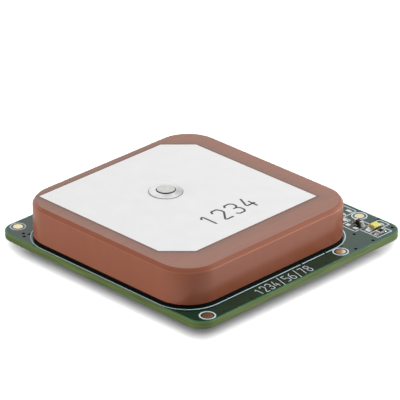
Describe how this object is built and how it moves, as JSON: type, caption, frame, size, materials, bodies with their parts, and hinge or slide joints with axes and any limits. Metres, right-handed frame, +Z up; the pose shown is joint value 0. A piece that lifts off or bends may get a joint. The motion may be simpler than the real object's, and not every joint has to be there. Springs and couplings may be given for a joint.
{
  "type": "satellite positioning receiver module",
  "caption": "Square circuit board with a ceramic patch antenna on top and, below, a shield can over the radio, a coin cell and a side-entry wire connector; receives position signals.",
  "frame": {"origin": "on the table under the middle of the board, at the shield can's flat face", "axes": "+Z up out of the antenna, +X out of the connector's mouth"},
  "size_m": [0.03, 0.03, 0.0084],
  "materials": {
    "solder_mask": "glossy solder mask on glass-epoxy board",
    "gold_plate": "flat gold plating",
    "tape": "black adhesive tape",
    "antenna_ceramic": "fired, fine matt grain",
    "silver_electrode": "matt fired silver",
    "solder": "bright reflowed solder",
    "tinplate": "satin tinplate",
    "steel": "satin nickel-plated steel",
    "black_epoxy": "moulded epoxy",
    "led_substrate": "black resin laminate",
    "phosphor": "silicone with yellow phosphor",
    "chip_ceramic": "fired chip ceramic",
    "connector_nylon": "moulded nylon"
  },
  "bodies": {
    "root": {"circuit_board": "solder_mask", "gold_test_pads": "gold_plate", "adhesive_tape": "tape", "antenna_ground": "silver_electrode", "antenna_ceramic": "antenna_ceramic", "antenna_electrode": "silver_electrode", "feed_pin": "tinplate", "feed_solder_top": "solder", "feed_solder_bottom": "solder", "led_base": "led_substrate", "led_terminals": "gold_plate", "led_lens": "phosphor", "resistor_bodies": "black_epoxy", "ferrite_beads": "black_epoxy", "capacitor_bodies": "chip_ceramic", "chip_end_caps": "solder", "solder_fillets": "solder", "voltage_regulator": "black_epoxy", "regulator_leads": "tinplate", "shield_can": "tinplate", "receiver_chip": "black_epoxy", "receiver_chip_lands": "solder", "flash_memory": "black_epoxy", "oscillator_base": "chip_ceramic", "oscillator_lid": "steel", "crystal_base": "chip_ceramic", "crystal_lid": "steel", "saw_filter": "chip_ceramic", "low_noise_amplifier": "black_epoxy", "power_inductor": "black_epoxy", "backup_cell": "steel", "backup_cell_tabs": "steel", "connector_housing": "connector_nylon", "connector_contacts": "tinplate", "connector_tabs": "tinplate"}
  },
  "joints": []
}
